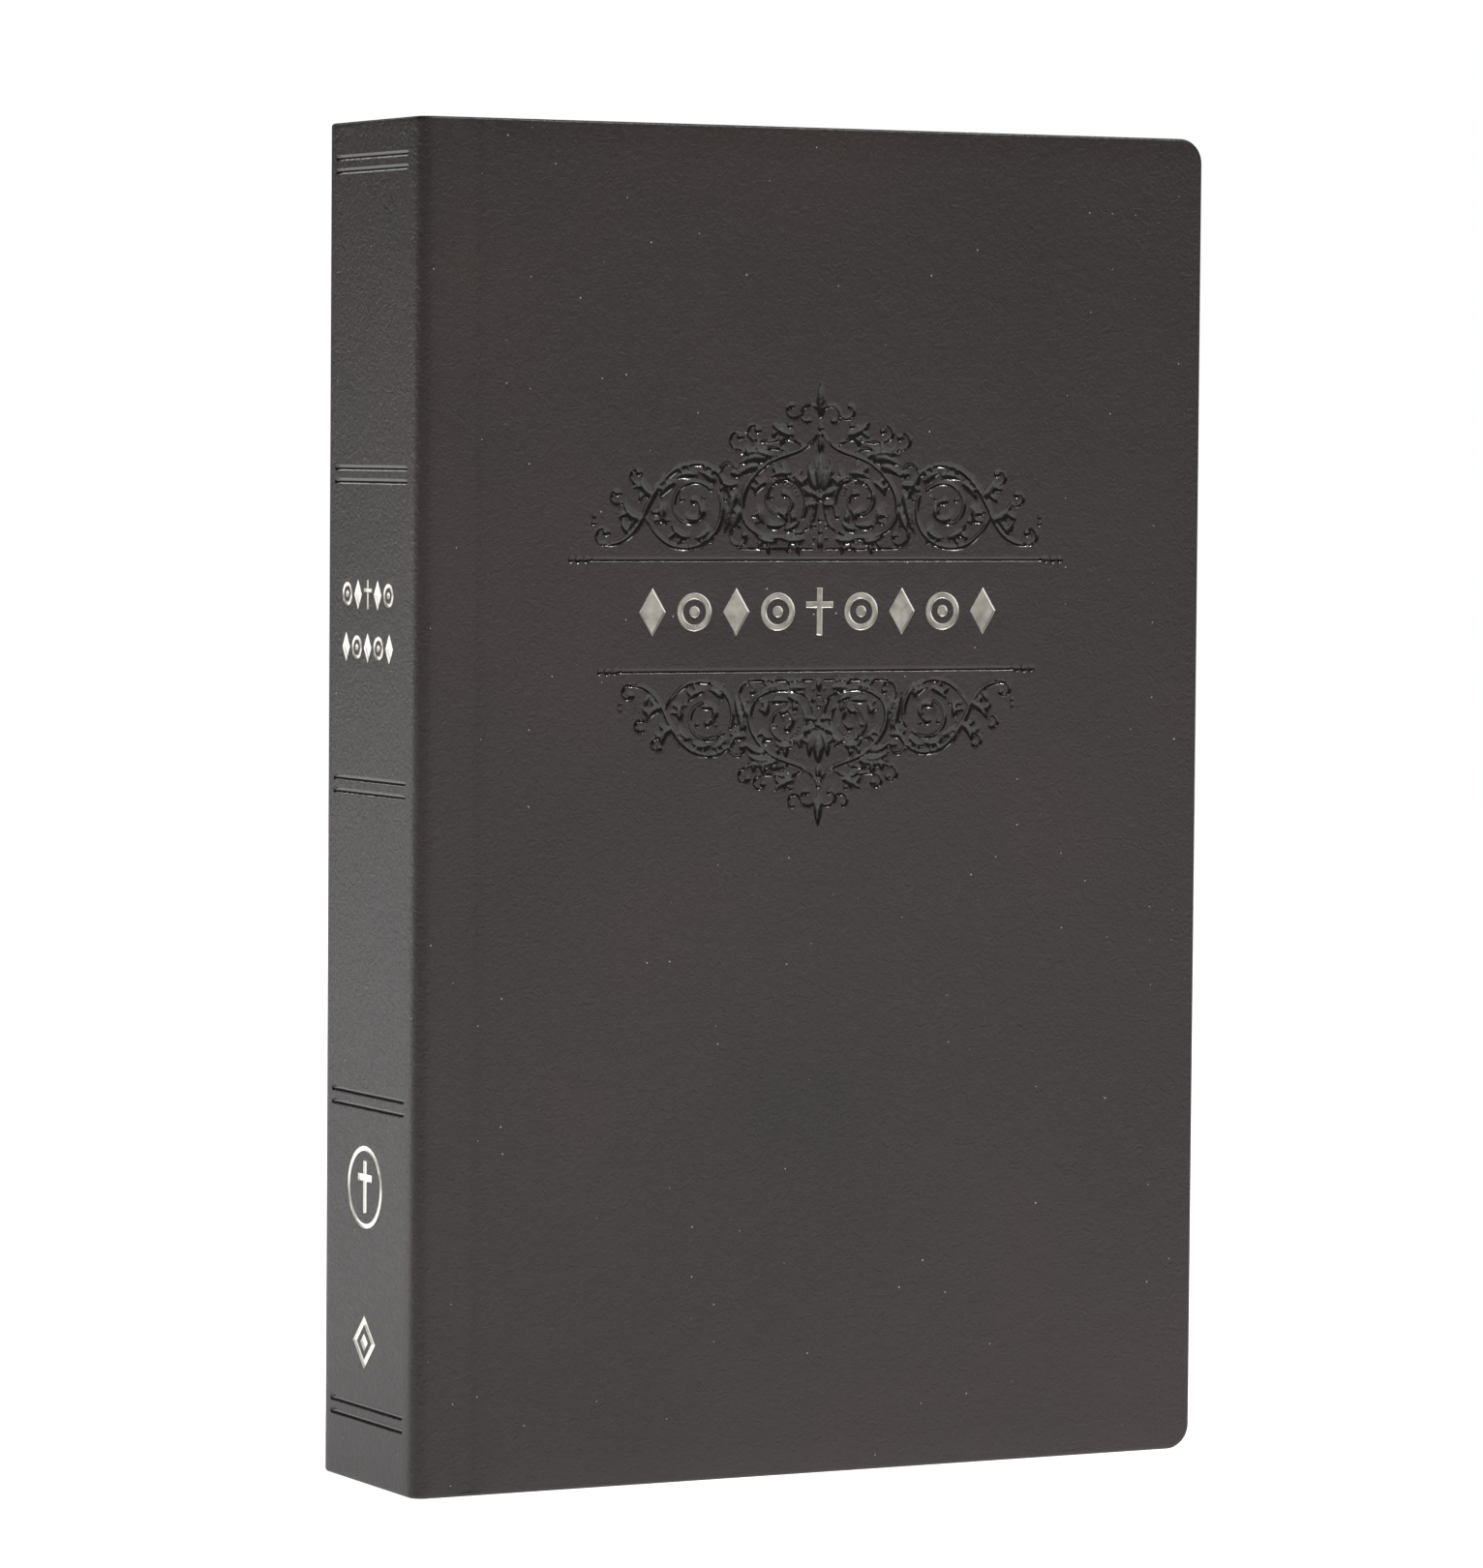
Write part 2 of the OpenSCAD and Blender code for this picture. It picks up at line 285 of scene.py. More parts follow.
def leather_material():
    """Soft polyurethane hide: a satin face, fine wrinkles, cloudy dye and a few pale specks."""
    material, tree, shader = new_material("imitation_leather_polyurethane", IOR=1.48)
    rest = add(tree, "Attribute", attribute_name="rest").outputs["Vector"]
    cloud = add(tree, "TexNoise", {"Vector": rest, "Scale": 1 / 0.045, "Detail": 3.0})
    # The embossed wrinkles are 1.1 mm apart, a little coarser than real ones, so that they show.
    grain = add(tree, "TexNoise", {"Vector": rest, "Scale": 1 / 0.0011, "Detail": 4.0,
                                   "Roughness": 0.6, "Distortion": 1.2})
    dye = add(tree, "ValToRGB", {"Fac": cloud.outputs["Fac"]})
    dye.color_ramp.elements[0].position, dye.color_ramp.elements[1].position = 0.3, 0.7
    dye.color_ramp.elements[0].color = colour("#231d1b")
    dye.color_ramp.elements[1].color = colour("#2e2422")
    # Specks: one cell in ten, 4.2 mm across, holds a mote of dust 0.1 to 0.3 mm wide.
    split = add(tree, "SeparateXYZ", {"Vector": rest})
    along = add(tree, "Math", {0: split.outputs["X"], 1: split.outputs["Y"]},
                operation="SUBTRACT")
    sheet = add(tree, "CombineXYZ", {"X": along.outputs[0], "Y": split.outputs["Z"]})
    cells = add(tree, "TexVoronoi", {"Vector": sheet.outputs["Vector"], "Scale": 1 / 0.0042},
                voronoi_dimensions="2D")
    pick = add(tree, "SeparateColor", {"Color": cells.outputs["Color"]})
    size = add(tree, "MapRange", {"Value": pick.outputs["Green"], "To Min": 0.012,
                                  "To Max": 0.034})
    mote = add(tree, "Math", {0: cells.outputs["Distance"], 1: size.outputs["Result"]},
               operation="LESS_THAN")
    some = add(tree, "Math", {0: pick.outputs["Red"], 1: 0.1}, operation="LESS_THAN")
    fleck = mote.outputs[0]
    for share in (some.outputs[0], 0.55):
        fleck = add(tree, "Math", {0: fleck, 1: share}, operation="MULTIPLY").outputs[0]
    mix = add(tree, "Mix", {"Factor": fleck, "A": dye.outputs["Color"],
                            "B": colour("#d8d2c8")}, data_type="RGBA")
    # Where the hot die has pressed it, the skin is melted to a gloss and it is darker: partly scorched
    # by the die, and partly painted shade in the recesses, darkest where the stamping is deepest.
    pressed = add(tree, "Attribute", attribute_name="pressed").outputs["Fac"]
    scorch_and_shade = add(tree, "Mix", {"Factor": pressed, "A": mix.outputs["Result"],
                                 "B": colour("#1e1a19")}, data_type="RGBA")
    tree.links.new(scorch_and_shade.outputs["Result"], shader.inputs["Base Color"])
    gloss = add(tree, "MapRange", {"Value": pressed, "From Max": 0.4, "To Min": 0.47,
                                   "To Max": 0.17})
    tree.links.new(gloss.outputs["Result"], shader.inputs["Roughness"])
    fold = add(tree, "TexNoise", {"Vector": rest, "Scale": 1 / 0.006, "Detail": 2.0})
    soft = add(tree, "Bump", {"Height": fold.outputs["Fac"], "Distance": 0.00012, "Strength": 0.5})
    melted = add(tree, "MapRange", {"Value": pressed, "From Max": 0.3, "To Min": 1.0,
                                    "To Max": 0.15})
    bump = add(tree, "Bump", {"Height": grain.outputs["Fac"], "Distance": 0.00016,
                              "Strength": melted.outputs["Result"],
                              "Normal": soft.outputs["Normal"]})
    tree.links.new(bump.outputs["Normal"], shader.inputs["Normal"])
    return material


leather = leather_material()

# ------------------------------------------------------------
# Stamping: a heated die presses the scrollwork, the rules and the figures into the skin.
# The walls are soft at the top and the floor is flat. Only the figures take foil.
# ------------------------------------------------------------
# Widths of a stamped wall and of the round shoulder above it, and the depth, in mm.
wall, shoulder, stamp_d = 0.22, 0.1, 0.32


def spiral(x, z, r0, r1, a0, a1, w0, w1, bulb=0.0):
    """A stroke that winds round (x, z) from radius r0 at angle a0 to r1 at a1, with a round end."""
    count = max(14, int(abs(a1 - a0) / 5))
    t = np.linspace(0, 1, count)
    a, r = np.radians(a0 + (a1 - a0) * t), r0 + (r1 - r0) * t ** 0.9
    half = (w0 + (w1 - w0) * t) / 2
    half = np.maximum(half, bulb / 2 * np.exp(-((1 - t) * count / 4) ** 2))
    return np.column_stack([x + r * np.cos(a), z + r * np.sin(a), half])


def stem(p0, p1, p2, p3, w0, w1):
    """A stroke along a curve from p0 to p3, w0 wide at its start and w1 at its end."""
    t = np.linspace(0, 1, 40)[:, None]
    p = sum(c * np.array(q) for c, q in zip(
        ((1 - t) ** 3, 3 * (1 - t) ** 2 * t, 3 * (1 - t) * t ** 2, t ** 3), (p0, p1, p2, p3)))
    return np.column_stack([p, (w0 + (w1 - w0) * t[:, 0] + 0.25 * np.sin(math.pi * t[:, 0])) / 2])


def petal(x, z, heading, length, bend, width, skew=0.6):
    """A pointed lobe that leaves (x, z) at a heading and turns by bend degrees on its way."""
    t = np.linspace(0, 1, max(8, int(length / 0.3)))
    a, step = np.radians(heading + bend * t), length / (len(t) - 1)
    px = x + np.concatenate([[0], np.cumsum(np.cos(a[:-1]) * step)])
    pz = z + np.concatenate([[0], np.cumsum(np.sin(a[:-1]) * step)])
    half = width * 0.62 * np.sin(math.pi * t ** skew) ** 0.8 + 0.08
    return np.column_stack([px, pz, half])


def frond(x, z, heading, length, bend, width):
    """A petal with two smaller lobes on its outer side, as an acanthus leaf has."""
    main = petal(x, z, heading, length, bend, width)
    side = -math.copysign(1, bend)
    lobes = [main]
    for share, size in ((0.2, 0.5), (0.5, 0.42)):
        px, pz, half = main[int(share * len(main))]
        turned = heading + bend * share + side * 58
        lobes.append(petal(px + half * 0.5 * math.cos(math.radians(turned)),
                           pz + half * 0.5 * math.sin(math.radians(turned)),
                           turned, length * size, -side * -60, width * 0.7))
    return lobes


def bead(x, z, size):
    """A stroke of one point: a round dimple."""
    return np.array([[x, z, size / 2]])


def crest():
    """Strokes of a crest of scrolls, x from its middle and z from its foot, in mm."""
    s = [petal(0, 21.9, 90, 5.4, 0, 1.2, 0.75), bead(0, 20.0, 1.0), petal(0, 16.2, 90, 3.4, 0, 0.8)]
    s += [spiral(2.3, 21.9, 2.3, 0.75, 180, -90, 0.6, 0.6, 1.15)]
    s += [spiral(5.1, 23.0, 1.8, 0.6, 200, 430, 0.6, 0.5, 1.1)]
    s += [bead(5.6 + 1.15 * n, 20.4 - 0.1 * n, 0.95 - 0.12 * n) for n in range(3)]
    # The ogee round the middle field, and the fronds and curls that stand on it.
    s += [stem((0.4, 19.2), (2.6, 15.6), (6.5, 16.2), (9.6, 14.2), 0.5, 0.8)]
    s += [stem((9.6, 14.2), (13.8, 11.4), (15.2, 7.6), (13.2, 4.6), 0.8, 0.8)]
    s += [stem((13.2, 4.6), (10.6, 1.9), (6.2, 2.0), (2.8, 3.6), 0.8, 0.5)]
    s += [stem((2.8, 3.6), (1.4, 4.4), (1.0, 6.2), (0.7, 8.6), 0.5, 0.6)]
    s += [stem((3.4, 17.3), (6.4, 19.6), (9.0, 17.0), (11.6, 18.1), 0.5, 0.5)]
    s += [stem((6.4, 16.3), (9.8, 18.0), (12.6, 14.8), (14.4, 16.6), 0.5, 0.5)]
    s += [spiral(11.9, 19.5, 1.5, 0.6, -80, 170, 0.6, 0.5, 1.2)]
    s += [spiral(15.0, 18.3, 1.7, 0.6, -90, 150, 0.6, 0.5, 1.3)]
    s += frond(5.2, 18.9, 10, 4.2, 40, 1.2) + frond(9.6, 15.1, 12, 5.2, -50, 1.5)
    s += [petal(8.6, 15.4, 24, 6.0, -44, 1.2), petal(11.0, 13.9, -4, 4.6, -46, 1.3)]
    # The scroll in the middle field, with its lobes and a row of pearls.
    s += [spiral(6.8, 8.4, 4.5, 1.2, 215, -250, 0.8, 0.6, 1.4)]
    s += frond(3.0, 10.7, 66, 2.8, -70, 1.0) + frond(5.6, 12.7, 14, 3.6, -60, 1.1)
    s += frond(9.9, 11.4, -24, 3.0, -60, 1.0) + frond(10.9, 7.0, -92, 2.6, -40, 1.0)
    s += [petal(9.4, 4.6, 196, 3.2, -40, 1.1), petal(6.2, 3.8, 172, 2.8, -50, 1.0)]
    s += [bead(6.8 + 2.9 * math.cos(a), 8.4 + 2.9 * math.sin(a), 0.44)
          for a in np.radians(range(20, 175, 13))]
    s += [petal(7.6, 6.8, 200, 2.6, 70, 1.0), bead(8.9, 9.0, 0.9), petal(5.0, 6.4, 250, 2.0, 70, 0.8)]
    # A tulip, a cross of pearls and the foot, on the middle line.
    s += [petal(0, 10.2, 90, 5.8, 0, 1.8, 0.8), petal(0.7, 10.2, 60, 4.8, 34, 1.3)]
    s += [petal(0.6, 9.4, 6, 3.4, 56, 1.2), bead(0, 8.9, 1.2), petal(0.5, 8.0, -20, 2.4, 50, 0.8)]
    s += [bead(0, 5.4, 0.9), bead(1.1, 4.4, 0.8), bead(0, 3.4, 0.9), petal(0, 0.8, 90, 2.2, 0, 0.8)]
    s += [bead(1.15, 6.1, 0.65), bead(1.1, 2.4, 0.65)]
    s += [stem((1.0, 0.75), (5, 0.75), (10, 0.75), (14.4, 0.8), 0.3, 0.3)]
    s += frond(3.0, 2.3, -14, 4.4, 36, 1.0) + frond(8.0, 1.9, -4, 3.8, 44, 1.0)
    s += [spiral(14.2, 2.6, 2.0, 0.7, 20, -200, 0.6, 0.6, 1.2)]
    # The link between the fields: a curl on top, and a bundle of stems under it.
    s += [spiral(16.2, 13.0, 2.2, 0.8, -70, 200, 0.8, 0.6, 1.5)]
    s += frond(15.2, 11.0, -16, 3.2, 70, 1.1) + [bead(16.7, 10.0, 0.8), bead(17.0, 8.6, 0.7)]
    s += [petal(15.3, 9.8, -74, 5.6, -14, 1.2), petal(14.6, 7.2, -80, 4.4, 30, 1.1)]
    s += [petal(16.2, 7.6, -88, 4.6, 24, 1.0)]
    # The side field: two crossed stems, and a scroll between them.
    s += [stem((14.6, 4.2), (15.6, 8.6), (16.8, 13.4), (21.4, 14.2), 0.6, 0.9)]
    s += [stem((21.4, 14.2), (26.6, 14.6), (29.4, 10.4), (31.4, 6.2), 0.9, 0.9)]
    s += [stem((31.4, 6.2), (32.8, 3.2), (35.2, 1.1), (38.4, 1.5), 0.9, 0.6)]
    s += [spiral(38.6, 3.0, 1.6, 0.65, -90, 150, 0.6, 0.5, 1.3)]
    s += [stem((18.1, 9.4), (16.7, 5.8), (18.4, 1.9), (22.8, 1.0), 0.6, 0.8)]
    s += [stem((22.8, 1.0), (26.6, 0.4), (28.8, 2.2), (31.2, 5.6), 0.8, 0.5)]
    s += [spiral(23.0, 7.3, 4.5, 1.2, 140, -250, 0.8, 0.6, 1.5)]
    s += frond(19.2, 11.4, 58, 3.2, -66, 1.2) + frond(22.4, 12.4, 16, 3.6, -60, 1.2)
    s += frond(26.2, 11.3, -26, 3.6, -50, 1.2) + frond(28.2, 7.6, -78, 3.2, -50, 1.1)
    s += frond(19.8, 3.8, -54, 3.2, 60, 1.1) + frond(23.6, 2.5, 12, 3.8, 50, 1.1)
    s += [petal(23.6, 5.6, 200, 2.8, -60, 1.0), bead(24.8, 8.6, 0.9), bead(21.0, 8.8, 0.7)]
    s += [bead(27.2, 5.2, 0.8), petal(21.2, 5.8, 100, 2.4, -50, 0.9)]
    # The tail: leaves that climb the outer stem.
    s += frond(30.0, 9.2, 26, 3.8, 74, 1.3) + frond(31.9, 5.4, 8, 4.4, 76, 1.3)
    s += [spiral(32.8, 12.4, 1.5, 0.6, -120, 140, 0.6, 0.5, 1.2)]
    s += [spiral(36.3, 9.0, 1.4, 0.6, -130, 120, 0.6, 0.5, 1.2), petal(34.0, 3.2, 40, 2.6, 50, 0.9)]
    s += [bead(40.3, 4.8 + 1.05 * n, 0.85 - 0.12 * n) for n in range(2)]
    return s + [p * [-1, 1, 1] for p in s if np.abs(p[:, 0]).max() > 0.3]


def rule(z, length):
    """A long line with three beads beyond each end."""
    x = np.array([-length / 2, length / 2])
    line = np.column_stack([x, [z, z], [0.27, 0.27]])
    return [line] + [bead(side * (length / 2 + 0.75 + 1.3 * n), z, 1.25 - 0.2 * abs(n - 1))
                     for side in (-1, 1) for n in range(3)]


def ring(x, z, rx, rz=None):
    """A closed loop round (x, z)."""
    return [(x + rx * math.cos(a), z + (rz or rx) * math.sin(a))
            for a in np.radians(range(0, 360, 12))]


def bar(x, z, w, h):
    """A closed loop round a rectangle from its lower left corner."""
    return [(x, z), (x + w, z), (x + w, z + h), (x, z + h)]


figure_line = 0.13
figure_widths = {"l": 0.62, "o": 0.8, "+": 0.64}


def figure(c):
    """A lozenge, a ring round a bead or a cross, one unit high: shapes, cut-outs, the bead."""
    w = figure_widths[c]
    if c == "l":
        return [[(w / 2, 0), (w, 0.5), (w / 2, 1), (0, 0.5)]], [], []
    if c == "o":
        return ([ring(w / 2, 0.5, w / 2)], [ring(w / 2, 0.5, w / 2 - figure_line)],
                [ring(w / 2, 0.5, 0.12)])
    return [bar((w - figure_line) / 2, 0, figure_line, 1), bar(0, 0.58, w, figure_line)], [], []


def figure_row(row, x, z, h, gap):
    """Outline loops of a centred row of figures h high. The gap is for figures one unit high."""
    steps = [figure_widths[c] + gap for c in row]
    layers = [], [], []
    for n, c in enumerate(row):
        start = sum(steps[:n]) - (sum(steps) - gap) / 2
        for shapes, layer in zip(figure(c), layers):
            layer += [[(x + h * (start + px), z + h * pz) for px, pz in shape]
                      for shape in shapes]
    return joined_loops(layers[0], layers[1]) + joined_loops(layers[2], [])


def joined_loops(made, cut):
    """Outline loops of the made shapes together less the cut ones, anticlockwise round them."""
    points, shapes = [], []
    for shape in made + cut:
        shapes.append(list(range(len(points), len(points) + len(shape))))
        points += [Vector(p) for p in shape]
    flat, _, faces, _, _, origins = delaunay_2d_cdt(points, [], shapes, 0, 1e-4)
    sides = {}
    for face, origin in zip(faces, origins):
        if origin and max(origin) < len(made):
            for n in range(len(face)):
                sides[(face[n - 1], face[n])] = True
    first = [flat[n] for n in next(f for f, o in zip(faces, origins) if o)]
    clockwise = (first[1] - first[0]).cross(first[2] - first[0]) < 0
    ahead = {}
    for a, b in sides:
        if (b, a) not in sides:
            a, b = (b, a) if clockwise else (a, b)
            ahead.setdefault(a, []).append(b)
    loops = []
    while ahead:
        start = here = next(iter(ahead))
        loop = []
        while True:
            options = ahead[here]
            there = options.pop()
            if not options:
                del ahead[here]
            loop.append(tuple(flat[here]))
            here = there
            if here == start:
                break
        loops.append(tidy_loop(loop))
    return loops


def tidy_loop(loop):
    """The loop without the points that lie on a straight run or on top of each other."""
    kept = [p for n, p in enumerate(loop) if math.dist(p, loop[n - 1]) > 0.02]
    out = []
    for n, p in enumerate(kept):
        a, b = kept[n - 1], kept[(n + 1) % len(kept)]
        bend = abs((p[0] - a[0]) * (b[1] - a[1]) - (p[1] - a[1]) * (b[0] - a[0]))
        if bend > 0.004 * math.dist(a, b):
            out.append(p)
    return even_loop(out, 0.6)


def even_loop(loop, gap):
    """The loop with points added on its long straight runs."""
    out = []
    for n, a in enumerate(loop):
        b = loop[(n + 1) % len(loop)]
        count = max(1, round(math.dist(a, b) / gap))
        out += [(a[0] + (b[0] - a[0]) * k / count, a[1] + (b[1] - a[1]) * k / count)
                for k in range(count)]
    return out


def stroke_points(stroke, gap):
    """Points in rows along a stroke's floor, its walls and the flat leather beside it."""
    centre, half = stroke[:, :2], stroke[:, 2]
    rings = [[], [], [], []]
    if len(stroke) > 1:
        along = np.gradient(centre, axis=0)
        along /= np.maximum(np.linalg.norm(along, axis=1, keepdims=True), 1e-9)
        across = np.column_stack([-along[:, 1], along[:, 0]])
        for ring, beyond in zip(rings, (shoulder, -wall, shoulder + 0.3)):
            keep = half + beyond > 0.05
            for side in (-1, 1):
                ring += list((centre + side * across * (half + beyond)[:, None])[keep])
        rings[3] = list(centre)
    for c, r in ((centre[0], half[0]), (centre[-1], half[-1])):
        for ring, beyond in zip(rings, (shoulder, -wall, shoulder + 0.3)):
            if r + beyond > 0.05:
                count = max(8, round(2 * math.pi * (r + beyond) / gap))
                ring += [c + (r + beyond) * np.array([math.cos(a), math.sin(a)])
                         for a in np.linspace(0, 2 * math.pi, count, endpoint=False)]
        rings[3].append(c)
    return rings


def spaced(points, gap, taken=None):
    """The points in order, leaving out each one closer than gap to one already kept."""
    taken = {} if taken is None else taken
    kept = []
    for p in points:
        cell = (int(p[0] // gap), int(p[1] // gap))
        near = [q for i in (-1, 0, 1) for j in (-1, 0, 1)
                for q in taken.get((cell[0] + i, cell[1] + j), ())]
        if all((p[0] - q[0]) ** 2 + (p[1] - q[1]) ** 2 >= gap * gap for q in near):
            taken.setdefault(cell, []).append(p)
            kept.append(tuple(p))
    return kept


def even(stroke, gap):
    """The same stroke with its samples about gap apart."""
    if len(stroke) == 1:
        return stroke
    length = np.concatenate([[0], np.cumsum(np.hypot(*np.diff(stroke[:, :2], axis=0).T))])
    at = np.linspace(0, length[-1], max(2, int(length[-1] / gap) + 1))
    return np.column_stack([np.interp(at, length, stroke[:, n]) for n in range(3)])


def stroke_depth(points, strokes):
    """How deep the strokes press each point, in mm."""
    points = np.asarray(points)
    nearest = np.full(len(points), 9.0)
    for stroke in strokes:
        dense = even(stroke, 0.12)
        reach = dense[:, 2].max() + shoulder
        inside = np.all((points > dense[:, :2].min(0) - reach)
                        & (points < dense[:, :2].max(0) + reach), axis=1)
        if inside.any():
            gaps = np.linalg.norm(points[inside][:, None] - dense[None, :, :2], axis=2)
            nearest[inside] = np.minimum(nearest[inside], (gaps - dense[:, 2]).min(1))
    t = np.clip((shoulder - nearest) / (wall + shoulder), 0, 1)
    return stamp_d * t * t * (3 - 2 * t) + 0.2 * np.clip(-nearest - wall, 0, 0.5)


def loop_gap(points, loops):
    """Distance from each point to the nearest loop, and whether the loops hold the point."""
    points = np.asarray(points, float)
    gap, held = np.full(len(points), 9.0), np.zeros(len(points), bool)
    for loop in loops:
        a, b = np.asarray(loop), np.roll(loop, -1, axis=0)
        near = np.flatnonzero(np.all((points > a.min(0) - 1) & (points < a.max(0) + 1), axis=1))
        if not len(near):
            continue
        p = points[near][:, None]
        t = np.clip(((p - a) * (b - a)).sum(2) / ((b - a) ** 2).sum(1), 0, 1)[..., None]
        gap[near] = np.minimum(gap[near], np.linalg.norm(p - a - t * (b - a), axis=2).min(1))
        x, z = points[near][:, :1], points[near][:, 1:]
        crosses = (a[:, 1] > z) != (b[:, 1] > z)
        rise = np.where(b[:, 1] == a[:, 1], 1, b[:, 1] - a[:, 1])
        left = x < a[:, 0] + (z - a[:, 1]) * (b[:, 0] - a[:, 0]) / rise
        held[near] ^= (np.count_nonzero(crosses & left, axis=1) % 2).astype(bool)
    return gap, held


def inset_loop(loop, d):
    """The loop moved d to its left, towards the inside of a figure."""
    p = np.asarray(loop)
    ahead, behind = np.roll(p, -1, axis=0) - p, p - np.roll(p, 1, axis=0)
    left = [np.column_stack([-v[:, 1], v[:, 0]]) / np.linalg.norm(v, axis=1, keepdims=True)
            for v in (behind, ahead)]
    turn = 1 + (left[0] * left[1]).sum(1, keepdims=True)
    return p + d * (left[0] + left[1]) / np.maximum(turn, 0.35)


# Depth of the foil, and of the leather under it and round its rim.
foil_d, bed = 0.26, 0.03
# Half the film's thickness, the least distance between points, and from station to station.
film, point_gap, station = 0.012, 0.16, 0.34


def stamped_face(strokes, loops, smooth, foil_wall, foils):
    """A stamping for leather_sheet. It adds the triangles inside the figures to foils."""
    def stamping(face_loop, grid):
        fixed = list(face_loop)
        held_loops = [list(range(len(fixed)))]
        floors = [inset_loop(loop, foil_wall) for loop in loops]
        for loop in list(loops) + floors:
            held_loops.append(list(range(len(fixed), len(fixed) + len(loop))))
            fixed += [tuple(p) for p in loop]
        free = [[], [], [], []]
        for stroke in strokes:
            for ring, more in zip(free, stroke_points(even(stroke, station), station)):
                ring += more
        for loop in loops:
            free[0] += list(inset_loop(even_loop(loop, 0.5), -0.3))
        taken = {}
        spaced(fixed, point_gap, taken)
        loose = spaced([p for ring in free for p in ring], point_gap, taken)
        loose += spaced(grid, 0.5, taken)
        if loops:
            gap, held = loop_gap(loose, loops)
            loose = [p for p, g, h in zip(loose, gap, held)
                     if g > (foil_wall if h else 0) + point_gap / 2]
        flat, triangles = triangulate(fixed + loose, held_loops)
        sinks = stroke_depth(flat, strokes) + smooth(flat)
        if loops:
            gap, held = loop_gap(flat, loops)
            pressed = held & (gap > foil_wall / 2)
            sinks = np.where(pressed, foil_d + bed, sinks)
            sinks = np.where(gap < 1e-3, bed, sinks)
            middle = flat[triangles].mean(1)
            foiled = triangles[loop_gap(middle, loops)[1]]
            foils.extend([flat, foiled, np.where(pressed, foil_d, film)])
        return flat, triangles, sinks
    return stamping


# ------------------------------------------------------------
# Front leather: the part of the skin over the front joint and the front cover, in one
# sheet. Its two crests of scrolls and two beaded rules are blind stamped, without foil,
# and a row of plain figures is stamped through silver foil between them.
# ------------------------------------------------------------
row_x, row_z, row_h = 0.1, 135.0, 7.6
upper_z, lower_z = row_z + row_h + 4.5, row_z - 5.6
row_loops = figure_row("lolo+olol", row_x, row_z, row_h, 0.27)
front_stamps = [p + [row_x, upper_z + 1.0, 0] for p in crest()]
front_stamps += [p * [0.88, -0.88, 0.9] + [row_x, lower_z - 0.9, 0] for p in crest()]
front_stamps += [p + [row_x, 0, 0] for p in rule(upper_z, 81.7) + rule(lower_z, 71.3)]


def soft_hollow(flat):
    """The skin sinks a little over the crease, where the card's edge gives way."""
    return 0.22 * np.exp(-((flat[:, 0] - crease - 0.4) / 1.3) ** 2)


cover_columns = [seam, seam + 2, crease - 1.2, crease - 0.7]
cover_columns += list(np.arange(crease - 0.3, crease + 3.01, 0.25))
cover_columns += list(np.arange(crease + 4.5, high.x - 6, 5.8)) + [high.x - 4.0]
row_foil = []
front_leather = leather_sheet(
    "front_leather", lambda s, sink: (s, low.y + sink), seam, high.x, cover_columns, True,
    skin_t + card_t, 6, stamped_face(front_stamps, row_loops, soft_hollow, 0.2, row_foil),
    front_stamps)
finish_piece(front_leather, leather, 40)
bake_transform(front_leather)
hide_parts("front_cover_skin")

# ------------------------------------------------------------
# Back leather: the same sheet over the back joint and cover, plain, without any stamping.
# ------------------------------------------------------------
def plain_face(smooth):
    """A stamping for leather_sheet that has only the hollow over the crease."""
    def stamping(face_loop, grid):
        flat, triangles = triangulate(list(face_loop) + grid, [list(range(len(face_loop)))])
        return flat, triangles, smooth(flat)
    return stamping


back_leather = leather_sheet(
    "back_leather", lambda s, sink: (s, high.y - sink), seam, high.x, cover_columns, True,
    skin_t + card_t, 6, plain_face(soft_hollow))
finish_piece(back_leather, leather, 40)
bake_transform(back_leather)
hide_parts("back_cover_skin")

# ------------------------------------------------------------
# Spine leather: the middle of the skin, bent round both shoulders of the spine. Five pairs
# of lines, two rows of plain figures and two small marks are stamped into it.
# ------------------------------------------------------------
joint_w = seam - low.x - shoulder_r
arc_w = math.pi / 2 * shoulder_r
flat_w = high.y - low.y - 2 * shoulder_r
wrap_w = 2 * (joint_w + arc_w) + flat_w
spine_middle = wrap_w / 2 - 1.1


def spine_wrap(s, sink):
    """Distance s round the spine, from the rear seam to the front one, as a place in plan."""
    side, t = (1, s) if s < wrap_w / 2 else (-1, wrap_w - s)
    if t < joint_w:
        return seam - t, side * (high.y - sink)
    if t < joint_w + arc_w:
        a = (t - joint_w) / shoulder_r
        r = shoulder_r - sink
        return low.x + shoulder_r - r * math.sin(a), side * (high.y - shoulder_r + r * math.cos(a))
    return low.x + sink, side * (wrap_w / 2 - t)


def line_across(z):
    """One straight stamped line across the spine."""
    x = np.array([spine_middle - 12.6, spine_middle + 14.3])
    return np.column_stack([x, [z, z], [0.42, 0.42]])


spine_lines = [line_across(z + dz) for z in (11.3, 61.1, 110.9, 160.2, 209.3)
               for dz in (-1.05, 1.05)]
spine_row_h = 4.7
spine_rows = figure_row("ol+lo", spine_middle, 138.9, spine_row_h, 0.17)
spine_rows += figure_row("lolol", spine_middle, 130.5, spine_row_h, 0.17)
# A ring with a plain cross in it, and a lozenge in a lozenge frame.
ring_z, lozenge_z = 47.3, 22.6
mark_outlines = joined_loops([ring(spine_middle, ring_z, 6.6)], [ring(spine_middle, ring_z, 5.8)])
mark_outlines += joined_loops([bar(spine_middle - 0.6, ring_z - 4.2, 1.2, 8.4),
                               bar(spine_middle - 2.6, ring_z + 0.9, 5.2, 1.2)], [])
lozenges = [[(spine_middle + r * x, lozenge_z + r * z)
             for x, z in ((1, 0), (0, 1), (-1, 0), (0, -1))] for r in (4.24, 2.83, 1.41)]
mark_outlines += joined_loops(lozenges[:1], lozenges[1:2]) + joined_loops(lozenges[2:], [])
